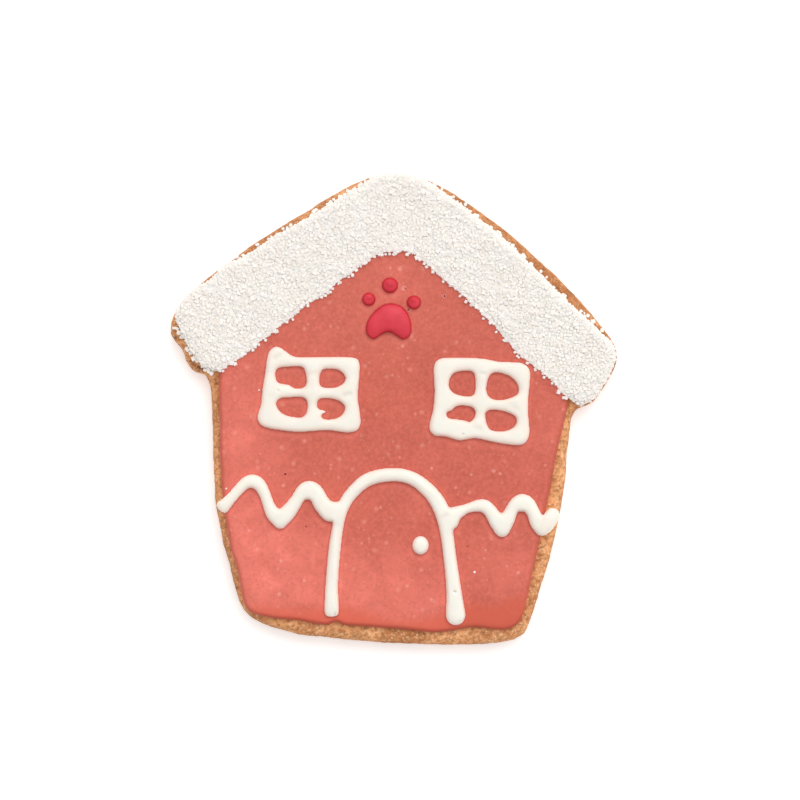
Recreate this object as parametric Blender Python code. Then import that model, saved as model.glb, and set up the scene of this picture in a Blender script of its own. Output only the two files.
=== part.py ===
"""Gingerbread house cookie: a flat cookie cut to a snowy house, flooded with icing and piped by hand.

Metres, +Z up. The cookie lies on its flat underside with the icing up. +Y runs from the doorstep to the
roof ridge and +X to the house's right. The origin is the middle of the underside. The outlines below are
in millimetres, as seen from above, and each runs once round its shape.
"""

import math

import bmesh
import bpy
import numpy as np
from mathutils import Vector
from mathutils.geometry import interpolate_bezier, tessellate_polygon

MM = 0.001

# ---------------------------------------------------------------- heights, in millimetres
COOKIE_THICKNESS = 6.2
TOUCH_GAP = 0.3  # between a layer and the one it lies on
WALL_ICING_THICKNESS = 1.2
ROOF_ICING_THICKNESS = 2.2
FRAME_THICKNESS = 1.15  # the piped window frames
PIPED_HEIGHT = 1.15  # a piped line of the usual half width
PIPED_HALF_WIDTH = 1.4
DOT_HEIGHT = 1.5  # door knob and toes
DOT_SUNK = 0.35  # how far a dot's widest part is above its foot, as a share of the ball's half height
POOL_HEIGHT = 1.6  # where the drift lines run together
PAD_HEIGHT = 1.75

ICING_BASE = COOKIE_THICKNESS + TOUCH_GAP
PIPING_BASE = ICING_BASE + WALL_ICING_THICKNESS + TOUCH_GAP

# ---------------------------------------------------------------- edge sections: (inset, height) pairs
COOKIE_EDGE = [
    (1.1, 0.0), (0.35, 0.35), (0.0, 1.3), (0.0, 3.9), (0.35, 5.1), (1.0, 5.85), (2.0, COOKIE_THICKNESS),
]
WALL_ICING_EDGE = [(0.2, 0.0), (0.0, 0.45), (0.12, 0.8), (0.4, 1.08), (0.95, WALL_ICING_THICKNESS)]
ROOF_ICING_EDGE = [(0.25, 0.0), (0.0, 0.7), (0.15, 1.4), (0.6, 1.95), (1.5, ROOF_ICING_THICKNESS)]
FRAME_EDGE = [(0.0, 0.0), (0.05, 0.55), (0.3, 0.95), (0.85, FRAME_THICKNESS)]
PAD_EDGE = [(0.15, 0.0), (0.0, 0.5), (0.25, 1.0), (0.75, 1.45), (1.5, PAD_HEIGHT)]

# ---------------------------------------------------------------- the cookie, clockwise from the ridge
ROOF_EDGE_RIGHT = [
    (0.5, 52.6), (7.8, 50.8), (15.8, 46.3), (24.7, 39.7), (34.9, 30.8), (43.4, 21.9), (48.4, 15.5),
]
EAVE_RIGHT = [(49.9, 11.8), (48.7, 7.9), (45.4, 2.8), (44.2, 1.2), (41.7, 0.3), (40.3, -0.6)]
WALL_RIGHT = [(39.3, -3.0), (38.6, -11.0), (37.2, -22.6), (35.7, -29.8), (34.0, -36.0), (30.5, -46.6)]
DOORSTEP = [
    (28.6, -50.6), (23.0, -52.2), (10.0, -52.7), (-8.9, -51.7), (-17.0, -50.9), (-25.1, -49.4),
    (-31.3, -47.0),
]
WALL_LEFT = [(-34.4, -43.3), (-36.8, -34.5), (-39.2, -25.0), (-40.1, -15.0), (-40.6, 0.0), (-41.1, 5.2)]
EAVE_LEFT = [
    (-42.2, 7.7), (-44.5, 8.4), (-46.2, 10.6), (-47.2, 13.3), (-49.2, 15.7), (-49.8, 18.4), (-48.4, 22.2),
]
ROOF_EDGE_LEFT = [(-44.8, 26.3), (-38.5, 31.4), (-29.0, 38.2), (-18.5, 44.7), (-10.5, 49.3), (-4.5, 51.8)]
COOKIE_OUTLINE = (
    ROOF_EDGE_RIGHT + EAVE_RIGHT + WALL_RIGHT + DOORSTEP + WALL_LEFT + EAVE_LEFT + ROOF_EDGE_LEFT
)

# ---------------------------------------------------------------- the roof's snow, and the wall below it
SNOW_LINE = [  # the snow's lower edge, from the left eave over the gable to the right eave
    (-38.4, 8.2), (-33.0, 12.0), (-26.5, 17.2), (-20.0, 22.2), (-12.5, 27.6), (-6.0, 32.8), (-2.2, 34.9),
    (2.0, 35.1), (6.2, 33.0), (13.0, 27.2), (19.0, 21.2), (26.0, 13.8), (33.4, 7.3), (38.5, 2.0),
]
SNOW_END_RIGHT = [(40.9, 0.9), (43.6, 1.9), (46.6, 5.4), (48.9, 9.4), (49.0, 13.0)]
SNOW_EDGE_RIGHT = [
    (45.2, 18.0), (38.0, 25.0), (30.4, 32.6), (21.5, 40.5), (12.9, 47.0), (6.8, 50.5), (0.5, 52.0),
]
SNOW_EDGE_LEFT = [(-5.2, 50.6), (-13.5, 46.2), (-22.5, 41.0), (-31.5, 35.7), (-39.2, 30.4), (-45.0, 25.4)]
SNOW_END_LEFT = [(-48.2, 21.6), (-47.8, 17.6), (-45.8, 13.6), (-44.0, 10.4), (-41.6, 8.4)]
ROOF_ICING_OUTLINE = SNOW_LINE + SNOW_END_RIGHT + SNOW_EDGE_RIGHT + SNOW_EDGE_LEFT + SNOW_END_LEFT

WALL_TOP_DROP = 0.45  # how far the wall icing's top edge lies below the snow line, clearing TOUCH_GAP
WALL_ICING_TOP = [(x, y - WALL_TOP_DROP) for x, y in SNOW_LINE]
WALL_ICING_RIGHT = [(38.1, -1.8), (36.2, -10.0), (34.1, -21.0), (31.6, -33.0), (29.4, -43.0), (28.0, -47.4)]
WALL_ICING_FOOT = [  # with a nick where the door's left leg ends
    (24.6, -49.2), (18.0, -48.6), (12.6, -49.5), (8.8, -49.8), (3.0, -49.2), (-6.0, -48.5), (-11.4, -48.2),
    (-12.9, -47.3), (-14.5, -48.1), (-17.2, -47.9), (-22.0, -47.1), (-28.8, -46.3),
]
WALL_ICING_LEFT = [
    (-32.6, -44.7), (-34.0, -40.5), (-34.9, -35.6), (-36.2, -31.8), (-37.1, -26.8), (-38.5, -16.0),
    (-38.8, -4.0), (-39.0, 5.8),
]
WALL_ICING_OUTLINE = WALL_ICING_TOP + WALL_ICING_RIGHT + WALL_ICING_FOOT + WALL_ICING_LEFT

# ---------------------------------------------------------------- the windows: a frame and its four panes
LEFT_FRAME = [
    (-26.2, 13.8), (-24.3, 12.9), (-22.8, 11.8), (-20.9, 11.4), (-13.9, 11.5), (-9.7, 11.4), (-8.0, 10.9),
    (-7.6, 9.2), (-7.9, 5.0), (-8.0, 1.8), (-7.4, -3.0), (-8.3, -4.9), (-10.9, -5.3), (-14.7, -4.8),
    (-20.9, -5.2), (-25.9, -4.7), (-29.4, -3.8), (-30.4, -2.0), (-29.6, 0.8), (-29.3, 4.0), (-28.6, 8.2),
    (-27.9, 12.4),
]
LEFT_PANES = [
    [
        (-26.35, 7.2), (-26.2, 8.5), (-25.6, 9.05), (-23.4, 9.3), (-20.6, 9.3), (-19.9, 8.7), (-19.4, 6.0),
        (-19.8, 4.9), (-20.8, 4.5), (-22.2, 4.55), (-23.3, 5.25), (-25.0, 5.5), (-26.0, 6.0),
    ],
    [
        (-15.9, 8.6), (-14.5, 8.8), (-12.4, 8.6), (-10.9, 7.2), (-11.1, 5.8), (-13.0, 4.7), (-14.9, 4.6),
        (-16.3, 5.0), (-16.6, 6.6),
    ],
    [
        (-26.2, 0.8), (-25.4, 2.2), (-22.9, 2.5), (-20.3, 2.5), (-19.4, 1.8), (-19.3, -0.1), (-20.1, -1.8),
        (-22.2, -1.9), (-24.6, -1.2),
    ],
    [  # a drip reaches into this one from the left
        (-17.1, 1.0), (-16.6, 2.1), (-14.4, 2.3), (-12.3, 1.75), (-11.0, 0.6), (-11.1, -0.7), (-12.4, -2.0),
        (-14.0, -2.4), (-15.7, -2.3), (-16.2, -1.7), (-15.7, -1.1), (-15.0, -0.75), (-15.5, -0.4),
        (-16.6, -0.2), (-17.0, 0.2),
    ],
]
RIGHT_FRAME = [
    (8.8, 8.9), (9.5, 10.7), (11.6, 11.3), (19.6, 11.1), (23.4, 10.4), (28.0, 10.2),
    (29.7, 9.3), (30.3, 7.6), (29.9, 3.0), (29.8, -1.0), (30.1, -5.4), (29.3, -7.5), (27.6, -8.2),
    (21.9, -7.4), (17.8, -6.6), (14.6, -7.1), (11.4, -6.2), (8.8, -5.9), (7.8, -4.2), (8.6, -0.6),
    (9.0, 4.0),
]
RIGHT_PANES = [
    [
        (12.2, 5.6), (13.1, 7.7), (14.9, 8.3), (17.2, 8.3), (17.9, 7.5), (18.1, 5.4), (17.8, 3.2),
        (16.8, 2.7), (14.4, 3.0), (12.7, 3.9),
    ],
    [
        (20.6, 5.1), (21.2, 7.2), (22.3, 8.0), (24.8, 7.6), (26.9, 6.2), (27.7, 4.4), (27.2, 3.0),
        (23.8, 1.9), (21.5, 2.3), (20.6, 3.6),
    ],
    [
        (11.6, -1.2), (11.95, -0.65), (12.75, -0.5), (13.3, 0.05), (13.9, 0.5), (15.2, 0.7), (16.9, 0.45),
        (17.8, 0.0), (18.1, -0.9), (17.8, -2.0), (16.9, -3.0), (15.9, -2.7), (14.0, -2.4), (12.1, -2.1),
    ],
    [
        (20.3, -1.2), (21.0, -0.4), (23.4, -0.4), (26.3, -1.3), (27.3, -2.5), (26.6, -4.1), (24.6, -5.0),
        (21.9, -4.9), (20.9, -4.1),
    ],
]

# ---------------------------------------------------------------- piped lines: (x, y, half width)
DOOR_ARCH = [  # up the left leg, over the door and down the right leg
    (-13.85, -45.8, 1.55), (-13.85, -43.9, 1.62), (-13.85, -39.4, 1.42), (-13.1, -30.3, 1.35),
    (-12.3, -25.4, 1.25), (-11.3, -21.8, 1.35), (-9.2, -18.6, 1.4), (-5.6, -15.7, 1.5), (0.0, -14.7, 1.5),
    (4.2, -15.6, 1.5), (8.0, -18.6, 1.6), (10.4, -22.2, 1.75), (11.6, -27.0, 1.5), (12.4, -33.0, 1.45),
    (13.3, -40.5, 1.7), (13.7, -46.0, 2.2),
]
LEFT_DRIFT = [
    (-38.4, -22.2, 1.6), (-36.7, -20.5, 1.25), (-34.3, -17.8, 1.2), (-32.4, -16.2, 1.4), (-30.5, -16.4, 1.5),
    (-28.9, -18.6, 1.3), (-27.9, -21.3, 1.3), (-27.0, -23.2, 1.6), (-25.4, -24.3, 2.0), (-23.7, -23.2, 1.8),
    (-21.5, -20.2, 1.45), (-20.3, -18.3, 1.5), (-18.9, -17.6, 1.6), (-17.4, -18.5, 1.7), (-16.2, -21.0, 1.9),
    (-14.3, -23.2, 2.0),
]
RIGHT_DRIFT = [
    (12.6, -24.0, 1.9), (14.2, -23.1, 1.5), (16.0, -22.3, 1.05), (18.1, -21.7, 1.25), (20.0, -21.6, 1.5),
    (21.5, -22.9, 1.5), (22.5, -24.5, 1.75), (23.9, -25.7, 2.1), (25.3, -24.4, 1.7), (26.1, -22.6, 1.4),
    (27.1, -21.1, 1.45), (28.5, -20.5, 1.6), (29.9, -21.3, 1.55), (31.1, -23.5, 1.5), (31.9, -25.3, 1.75),
    (33.1, -26.1, 1.9), (34.3, -25.2, 1.75), (35.2, -23.7, 1.7),
]
BLUNT_END = 0.35  # how far a line cut off bluntly goes on past its last point, as a share of its half width

# --------------------------------------------------------------- dots, pools: (x, y, half width, half length)
DRIFT_POOLS = [  # where the drift lines turn, the icing has run together
    (-25.3, -25.1, 1.9, 1.9), (-19.2, -18.8, 1.6, 1.6), (-13.2, -22.0, 1.7, 1.5), (12.9, -24.9, 1.8, 2.2),
    (24.0, -26.1, 2.3, 2.8), (28.4, -21.4, 1.6, 1.7), (32.9, -26.4, 2.1, 2.2),
]
DOOR_KNOB = (5.9, -30.4, 1.85, 2.1)
PAW_TOES = {"left": (-5.6, 24.3, 1.4, 1.4), "top": (-0.9, 27.4, 1.7, 1.65), "right": (4.4, 23.6, 1.5, 1.45)}
PAW_PAD_OUTLINE = [
    (-1.3, 23.3), (-3.9, 21.9), (-5.9, 19.2), (-6.1, 16.9), (-4.6, 15.5), (-2.9, 16.5), (-1.0, 17.1),
    (0.6, 16.2), (2.2, 15.4), (3.7, 16.8), (3.4, 20.2), (1.7, 22.6),
]

CURVE_STEPS = 3  # straight pieces between two points of an outline or a line
CLOSE_STEPS = 2  # the same, where the points lie close together
DOME_RINGS = 3  # rings that round off a piped line's end
ARCH_SIDES = 6  # facets over a piped line
DOT_SEGMENTS = 14
DOT_RINGS = 6
FOOT_SHARE = 0.15  # the upright part of a piped line's side
SMOOTH_BELOW = math.radians(35)  # edges flatter than this are shaded smooth


def clear_scene():
    for obj in list(bpy.data.objects):
        bpy.data.objects.remove(obj, do_unlink=True)


def icing_or_crust(name, colour, roughness):
    material = bpy.data.materials.new(name)
    material.use_nodes = True
    shader = material.node_tree.nodes["Principled BSDF"]
    shader.inputs["Base Color"].default_value = (*colour, 1.0)
    shader.inputs["Roughness"].default_value = roughness
    shader.inputs["Metallic"].default_value = 0.0
    material.diffuse_color = (*colour, 1.0)
    return material


def smooth_curve(points, closed, steps=CURVE_STEPS):
    """Points along a smooth curve through these ones, with its handles a third of each stretch long."""
    knots = [Vector((*point[:2], point[2] if len(point) > 2 else 0.0)) for point in points]
    count = len(knots)

    def tangent(i):
        before = knots[(i - 1) % count] if closed else knots[max(i - 1, 0)]
        after = knots[(i + 1) % count] if closed else knots[min(i + 1, count - 1)]
        return (after - before).normalized()

    curve = []
    for i in range(count if closed else count - 1):
        start, end = knots[i], knots[(i + 1) % count]
        reach = (end - start).length / 3
        handle_out = start + tangent(i) * reach
        handle_in = end - tangent((i + 1) % count) * reach
        curve += interpolate_bezier(start, handle_out, handle_in, end, steps + 1)[:-1]
    if not closed:
        curve.append(knots[-1])
    return np.array(curve)


def counter_clockwise(loop):
    x, y = loop[:, 0], loop[:, 1]
    area = np.dot(x, np.roll(y, -1)) - np.dot(np.roll(x, -1), y)
    return loop if area > 0 else loop[::-1]


def moved_inward(loop, distance):
    """The loop with each point moved to its left, which is into the material."""
    along_before = loop - np.roll(loop, 1, axis=0)
    along_after = np.roll(loop, -1, axis=0) - loop
    normals = []
    for along in (along_before, along_after):
        along = along / np.linalg.norm(along, axis=1, keepdims=True)
        normals.append(np.column_stack([-along[:, 1], along[:, 0]]))
    middle = normals[0] + normals[1]
    middle /= np.linalg.norm(middle, axis=1, keepdims=True)
    return loop + middle * distance


def new_object(name, bm, material):
    bmesh.ops.recalc_face_normals(bm, faces=bm.faces)
    mesh = bpy.data.meshes.new(name)
    bm.to_mesh(mesh)
    bm.free()
    mesh.shade_smooth()
    mesh.set_sharp_from_angle(angle=SMOOTH_BELOW)
    mesh.materials.append(material)
    obj = bpy.data.objects.new(name, mesh)
    bpy.context.scene.collection.objects.link(obj)
    return obj


def layer(name, material, outline, edge, base, holes=(), steps=CURVE_STEPS):
    """A flat layer: its outline and its holes' edges follow the (inset, height) section from base up."""
    outlines = [counter_clockwise(smooth_curve(outline, True, steps)[:, :2])]
    outlines += [counter_clockwise(smooth_curve(hole, True, steps)[:, :2])[::-1] for hole in holes]
    bm = bmesh.new()
    lowest, highest = [], []
    for loop in outlines:
        rings = []
        for inset, height in edge:
            ring = moved_inward(loop, inset) * MM
            rings.append([bm.verts.new((x, y, (base + height) * MM)) for x, y in ring])
        for below, above in zip(rings, rings[1:]):
            for i in range(len(loop)):
                bm.faces.new((below[i - 1], below[i], above[i], above[i - 1]))
        lowest.append(rings[0])
        highest.append(rings[-1])
    for cap in (lowest, highest):
        corners = [vert for ring in cap for vert in ring]
        for triangle in tessellate_polygon([[vert.co for vert in ring] for ring in cap]):
            bm.faces.new([corners[i] for i in triangle])
    return new_object(name, bm, material)


def arch_section(half_width):
    """(across, up) round a piped line: upright feet, then an arch. A wider line stands a little taller."""
    height = PIPED_HEIGHT * math.sqrt(half_width / PIPED_HALF_WIDTH)
    foot = FOOT_SHARE * height
    section = [(half_width, -TOUCH_GAP)]
    for i in range(ARCH_SIDES + 1):
        turn = math.pi * i / ARCH_SIDES
        section.append((half_width * math.cos(turn), foot + (height - foot) * math.sin(turn)))
    section.append((-half_width, -TOUCH_GAP))
    return section


def piped_line(name, material, path, start_reach=1.0):
    """A line of icing with an arched section and round ends. Its skirt reaches TOUCH_GAP below its base.

    The round start goes start_reach times the half width past the line's first point.
    """
    along = np.gradient(path[:, :2], axis=0)
    along /= np.linalg.norm(along, axis=1, keepdims=True)
    stations = [(point[:2], direction, point[2], 1.0) for point, direction in zip(path, along)]
    for at_start in (True, False):
        centre, direction, half_width, _ = stations[0] if at_start else stations[-1]
        outward = -direction * start_reach if at_start else direction
        for ring in range(1, DOME_RINGS + 1):
            turn = math.radians(85) * ring / DOME_RINGS
            moved = centre + outward * half_width * math.sin(turn)
            station = (moved, direction, half_width, math.cos(turn))
            stations = [station] + stations if at_start else stations + [station]
    bm = bmesh.new()
    rings = []
    for centre, direction, half_width, scale in stations:
        side = np.array([direction[1], -direction[0]])
        ring = []
        for across, up in arch_section(half_width):
            x, y = centre + side * across * scale
            z = PIPING_BASE + (up * scale if up > 0 else up)
            ring.append(bm.verts.new((x * MM, y * MM, z * MM)))
        rings.append(ring)
    for first, second in zip(rings, rings[1:]):
        for i in range(len(first)):
            bm.faces.new((first[i - 1], first[i], second[i], second[i - 1]))
    bm.faces.new(rings[0])
    bm.faces.new(rings[-1])
    return new_object(name, bm, material)


def helper(obj):
    obj.hide_render = True
    obj.display_type = "WIRE"
    return obj


def boolean(obj, other, operation):
    modifier = obj.modifiers.new(f"{operation.lower()}_{other.name}", "BOOLEAN")
    modifier.operation = operation
    modifier.solver = "EXACT"
    modifier.use_self = operation == "UNION"  # a line may cross itself on the inside of a tight bend
    modifier.object = helper(other)


def below_piping():
    """A block under the piping's base, which cuts the lines flat where they lie on the wall icing."""
    bm = bmesh.new()
    bmesh.ops.create_cube(bm, size=120 * MM)
    bmesh.ops.translate(bm, verts=bm.verts, vec=(0, 0, (PIPING_BASE - 60) * MM))
    return new_object("below_piping", bm, bpy.data.materials["white_icing"])


def dot(name, material, place, height):
    """A dot of icing: a flattened ball that stands up to height, still to be cut flat at its foot."""
    x, y, half_width, half_length = place
    half_height = height / (1 + DOT_SUNK)
    bm = bmesh.new()
    bmesh.ops.create_uvsphere(bm, u_segments=DOT_SEGMENTS, v_segments=DOT_RINGS, radius=1.0)
    bmesh.ops.scale(bm, verts=bm.verts, vec=Vector((half_width, half_length, half_height)) * MM)
    bmesh.ops.translate(bm, verts=bm.verts, vec=Vector((x, y, PIPING_BASE + DOT_SUNK * half_height)) * MM)
    return new_object(name, bm, material)


def build():
    crust = icing_or_crust("gingerbread", (0.62, 0.33, 0.14), 0.75)
    red = icing_or_crust("wall_icing", (0.76, 0.19, 0.14), 0.45)
    white = icing_or_crust("white_icing", (0.95, 0.93, 0.86), 0.4)
    snow = icing_or_crust("sugared_icing", (0.87, 0.85, 0.81), 0.6)
    berry = icing_or_crust("berry_icing", (0.70, 0.05, 0.08), 0.3)

    layer("cookie", crust, COOKIE_OUTLINE, COOKIE_EDGE, 0.0)
    layer("wall_icing", red, WALL_ICING_OUTLINE, WALL_ICING_EDGE, ICING_BASE)
    layer("roof_icing", snow, ROOF_ICING_OUTLINE, ROOF_ICING_EDGE, ICING_BASE)

    flat_cut = below_piping()
    left_window = layer("window_left", white, LEFT_FRAME, FRAME_EDGE, PIPING_BASE, LEFT_PANES, CLOSE_STEPS)
    boolean(left_window, flat_cut, "DIFFERENCE")
    layer("window_right", white, RIGHT_FRAME, FRAME_EDGE, PIPING_BASE, RIGHT_PANES, CLOSE_STEPS)

    door = piped_line("door_and_drifts", white, smooth_curve(DOOR_ARCH, False), BLUNT_END)
    left_drift = piped_line("left_drift", white, smooth_curve(LEFT_DRIFT, False, CLOSE_STEPS), BLUNT_END)
    right_drift = piped_line("right_drift", white, smooth_curve(RIGHT_DRIFT, False, CLOSE_STEPS))
    boolean(door, left_drift, "UNION")
    boolean(door, right_drift, "UNION")
    for number, place in enumerate(DRIFT_POOLS):
        boolean(door, dot(f"pool_{number}", white, place, POOL_HEIGHT), "UNION")
    boolean(door, flat_cut, "DIFFERENCE")

    boolean(dot("door_knob", white, DOOR_KNOB, DOT_HEIGHT), flat_cut, "DIFFERENCE")
    layer("paw_pad", berry, PAW_PAD_OUTLINE, PAD_EDGE, PIPING_BASE)
    for side, place in PAW_TOES.items():
        boolean(dot(f"paw_toe_{side}", berry, place, DOT_HEIGHT), flat_cut, "DIFFERENCE")


clear_scene()
build()
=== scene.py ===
"""Gingerbread house cookie: the looks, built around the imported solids.

Metres, +Z up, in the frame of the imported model. Each piece is made from the outline of the CAD node that it
replaces, so it lies where that node lies. Only the sugar replaces none: it lies over the snow icing. Small
sizes are written as a number times MM, and tables of places are in millimetres.
"""

import itertools
import math

import bpy
import numpy as np
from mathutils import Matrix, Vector
from mathutils.bvhtree import BVHTree
from mathutils.geometry import delaunay_2d_cdt
from mathutils.kdtree import KDTree


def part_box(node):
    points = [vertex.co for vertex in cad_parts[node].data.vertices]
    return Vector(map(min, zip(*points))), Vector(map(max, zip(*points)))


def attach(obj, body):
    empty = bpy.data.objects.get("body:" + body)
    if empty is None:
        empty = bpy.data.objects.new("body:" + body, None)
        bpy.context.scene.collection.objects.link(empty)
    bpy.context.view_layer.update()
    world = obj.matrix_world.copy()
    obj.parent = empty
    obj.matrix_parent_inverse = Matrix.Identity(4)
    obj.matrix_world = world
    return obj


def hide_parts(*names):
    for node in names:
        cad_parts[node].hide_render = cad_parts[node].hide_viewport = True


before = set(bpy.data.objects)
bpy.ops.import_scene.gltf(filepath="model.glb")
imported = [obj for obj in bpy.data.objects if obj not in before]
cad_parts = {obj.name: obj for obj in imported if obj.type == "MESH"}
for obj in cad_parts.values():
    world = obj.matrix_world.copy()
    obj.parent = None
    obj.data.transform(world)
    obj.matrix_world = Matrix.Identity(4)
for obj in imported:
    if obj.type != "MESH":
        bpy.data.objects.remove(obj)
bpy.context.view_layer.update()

MM = 0.001

# ---------------------------------------------------------------- levels, read from the frame
COOKIE_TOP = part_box("cookie")[1].z
WALL_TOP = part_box("wall_icing")[1].z
BURIED = 0.1 * MM  # how far a layer reaches into the one below, so that no gap shows
LEVEL_STEP = 5e-6  # points closer in height than this are on one level
ALL_THE_WAY = 1.0  # a depth that no outline here reaches


# ================================================================ noise
CORNERS = list(itertools.product((0, 1), repeat=3))  # of a cell
NEARBY = list(itertools.product((-1, 0, 1), repeat=3))  # a cell and those round it


def hashed(cells, seed):
    """A repeatable value from 0 to 1 for each whole-number cell."""
    mixed = cells[..., 0] * 73856093 ^ cells[..., 1] * 19349663 ^ cells[..., 2] * 83492791 ^ seed * 40503
    mixed = (mixed ^ (mixed >> 13)) * 1274126177 & 0x7FFFFFFF
    mixed = (mixed ^ (mixed >> 15)) * 668265263 & 0x7FFFFFFF
    return ((mixed ^ (mixed >> 16)) & 0xFFFFF) / 0xFFFFF


def noise(points, size, seed):
    """Smooth noise from -1 to 1 whose features are about this size."""
    scaled = points / size + 0.37 * seed
    cell = np.floor(scaled).astype(np.int64)
    part = scaled - cell
    part = part * part * (3 - 2 * part)
    total = np.zeros(len(points))
    for corner in CORNERS:
        weight = np.prod(np.where(np.array(corner, bool), part, 1 - part), axis=1)
        total += weight * hashed(cell + np.array(corner), seed)
    return 2 * total - 1


def rough_noise(points, size, seed, octaves=3):
    """Noise with finer, weaker noise on top of it."""
    total = sum(noise(points, size / 2**i, seed + i) / 2**i for i in range(octaves))
    return total / 1.5


def pits(points, size, share, seed):
    """From 0 to 1 inside round pits: this share of the cells of this size holds one."""
    scaled = points / size
    cell = np.floor(scaled).astype(np.int64)
    deepest = np.zeros(len(points))
    for shift in NEARBY:
        near = cell + np.array(shift)
        centre = near + np.stack([hashed(near, seed + i) for i in range(3)], axis=-1)
        radius = 0.25 + 0.35 * hashed(near, seed + 3)
        distance = np.linalg.norm(scaled - centre, axis=1) / radius
        holds_one = hashed(near, seed + 4) < share
        deepest = np.maximum(deepest, np.where(holds_one, np.clip(1 - distance**2, 0, 1), 0))
    return deepest


def smooth_step(x, low, high):
    part = np.clip((x - low) / (high - low), 0, 1)
    return part * part * (3 - 2 * part)


def ramp(length, low, high):
    """From 0 to 1 as the length goes from low to high, which are in millimetres."""
    return smooth_step(length, low * MM, high * MM)


# ================================================================ outlines
def level_loops(node):
    """The closed outlines of a node at the level where it is widest, the largest first."""
    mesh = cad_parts[node].data
    co = np.array([vert.co[:] for vert in mesh.vertices])
    faces = np.array([face.vertices[:] for face in mesh.polygons if len(face.vertices) == 3])
    _, first, index = np.unique(np.round(co / LEVEL_STEP), axis=0, return_index=True, return_inverse=True)
    co, faces = co[first], index.reshape(-1)[faces]
    levels = np.round(co[:, 2] / LEVEL_STEP)
    spans = {level: np.ptp(co[levels == level, 0]) for level in np.unique(levels)}
    widest = max(spans.values())
    on_level = levels == min(level for level in spans if spans[level] > widest - LEVEL_STEP)
    beside = {}
    for face in faces[on_level[faces].sum(axis=1) == 2]:
        a, b = [vert for vert in face if on_level[vert]]
        beside.setdefault(a, set()).add(b)
        beside.setdefault(b, set()).add(a)
    loops, left = [], set(beside)
    while left:
        loop, here = [], min(left)
        while here is not None:
            left.discard(here)
            loop.append(here)
            here = min(beside[here] & left, default=None)
        loops.append(co[loop][:, :2])
    return sorted(loops, key=lambda loop: -abs(signed_area(loop)))


def signed_area(loop):
    x, y = loop[:, 0], loop[:, 1]
    return 0.5 * (np.dot(x, np.roll(y, -1)) - np.dot(np.roll(x, -1), y))


CURVE_STEPS = 16  # between two points of an outline
LONGEST_MOVE = 0.2 * MM  # of an outline inward at one time


def evenly_spaced(loop, spacing):
    """The closed outline as a smooth curve through its points, anticlockwise, a point each spacing."""
    if signed_area(loop) < 0:
        loop = loop[::-1]
    ahead = np.roll(loop, -1, axis=0)
    slope = ahead - np.roll(loop, 1, axis=0)
    slope /= np.linalg.norm(slope, axis=1, keepdims=True)
    reach = np.linalg.norm(ahead - loop, axis=1, keepdims=True)
    fine = []
    for t in np.linspace(0, 1, CURVE_STEPS, endpoint=False):
        start = (1 + 2 * t) * (1 - t) ** 2 * loop + t * (1 - t) ** 2 * reach * slope
        end = t * t * (3 - 2 * t) * ahead + t * t * (t - 1) * reach * np.roll(slope, -1, axis=0)
        fine.append(start + end)
    fine = np.stack(fine, axis=1).reshape(-1, 2)
    closed = np.vstack([fine, fine[:1]])
    run = np.concatenate([[0], np.cumsum(np.linalg.norm(np.diff(closed, axis=0), axis=1))])
    count = max(8, round(run[-1] / spacing))
    at = np.linspace(0, run[-1], count, endpoint=False)
    return np.column_stack([np.interp(at, run, closed[:, axis]) for axis in (0, 1)])


def softened(loop, reach, spacing):
    """The evenly spaced outline with corners sharper than about this reach rounded."""
    for _ in range(max(1, round((reach / spacing) ** 2))):
        loop = 0.5 * loop + 0.25 * (np.roll(loop, 1, axis=0) + np.roll(loop, -1, axis=0))
    return loop


def smoothed(loop, reach, spacing):
    """The outline evenly spaced and softened."""
    return softened(evenly_spaced(loop, spacing), reach, spacing)


def inward_normals(loop):
    along = np.roll(loop, -1, axis=0) - np.roll(loop, 1, axis=0)
    along /= np.linalg.norm(along, axis=1, keepdims=True)
    return np.column_stack([-along[:, 1], along[:, 0]])


def moved_inward(loop, distance):
    """The outline moved inward in short steps, each smoothed a little so that tight bends don't fold."""
    steps = math.ceil(distance / LONGEST_MOVE)
    for _ in range(steps):
        loop = softened(loop + inward_normals(loop) * distance / steps, 1.0, 1.0)
    return loop


def is_inside(points, loops):
    """Whether each point lies inside an odd number of the loops."""
    inside = np.zeros(len(points), bool)
    for loop in loops:
        ends = np.roll(loop, -1, axis=0)
        order = np.argsort(points[:, 1])
        ys = points[order, 1]
        for (x0, y0), (x1, y1) in zip(loop, ends):
            if y0 == y1:
                continue
            low, high = np.searchsorted(ys, (min(y0, y1), max(y0, y1)))
            rows = order[low:high]
            crossing = x0 + (points[rows, 1] - y0) * (x1 - x0) / (y1 - y0)
            inside[rows[points[rows, 0] < crossing]] ^= True
    return inside


def distance_to_nearest(points, knots):
    tree = KDTree(len(knots))
    for i, (x, y) in enumerate(knots):
        tree.insert((x, y, 0), i)
    tree.balance()
    return np.array([tree.find((x, y, 0))[2] for x, y in points])


def depth_inside(points, loops):
    """How far each point is inside the loops; it is negative outside them."""
    nearest = distance_to_nearest(points, np.vstack(loops))
    return np.where(is_inside(points, loops), nearest, -nearest)


# ================================================================ meshes
def new_mesh(name, co, *face_sets):
    """A mesh from its points and one or more arrays of faces, each with one number of corners."""
    sizes = np.concatenate([np.full(len(faces), faces.shape[1]) for faces in face_sets])
    corners = np.concatenate([faces.ravel() for faces in face_sets])
    mesh = bpy.data.meshes.new(name)
    mesh.vertices.add(len(co))
    mesh.vertices.foreach_set("co", co.astype(np.float32).ravel())
    mesh.loops.add(len(corners))
    mesh.loops.foreach_set("vertex_index", corners.astype(np.int32))
    mesh.polygons.add(len(sizes))
    mesh.polygons.foreach_set("loop_start", (np.cumsum(sizes) - sizes).astype(np.int32))
    mesh.update(calc_edges=True)
    mesh.validate()
    return mesh


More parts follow.
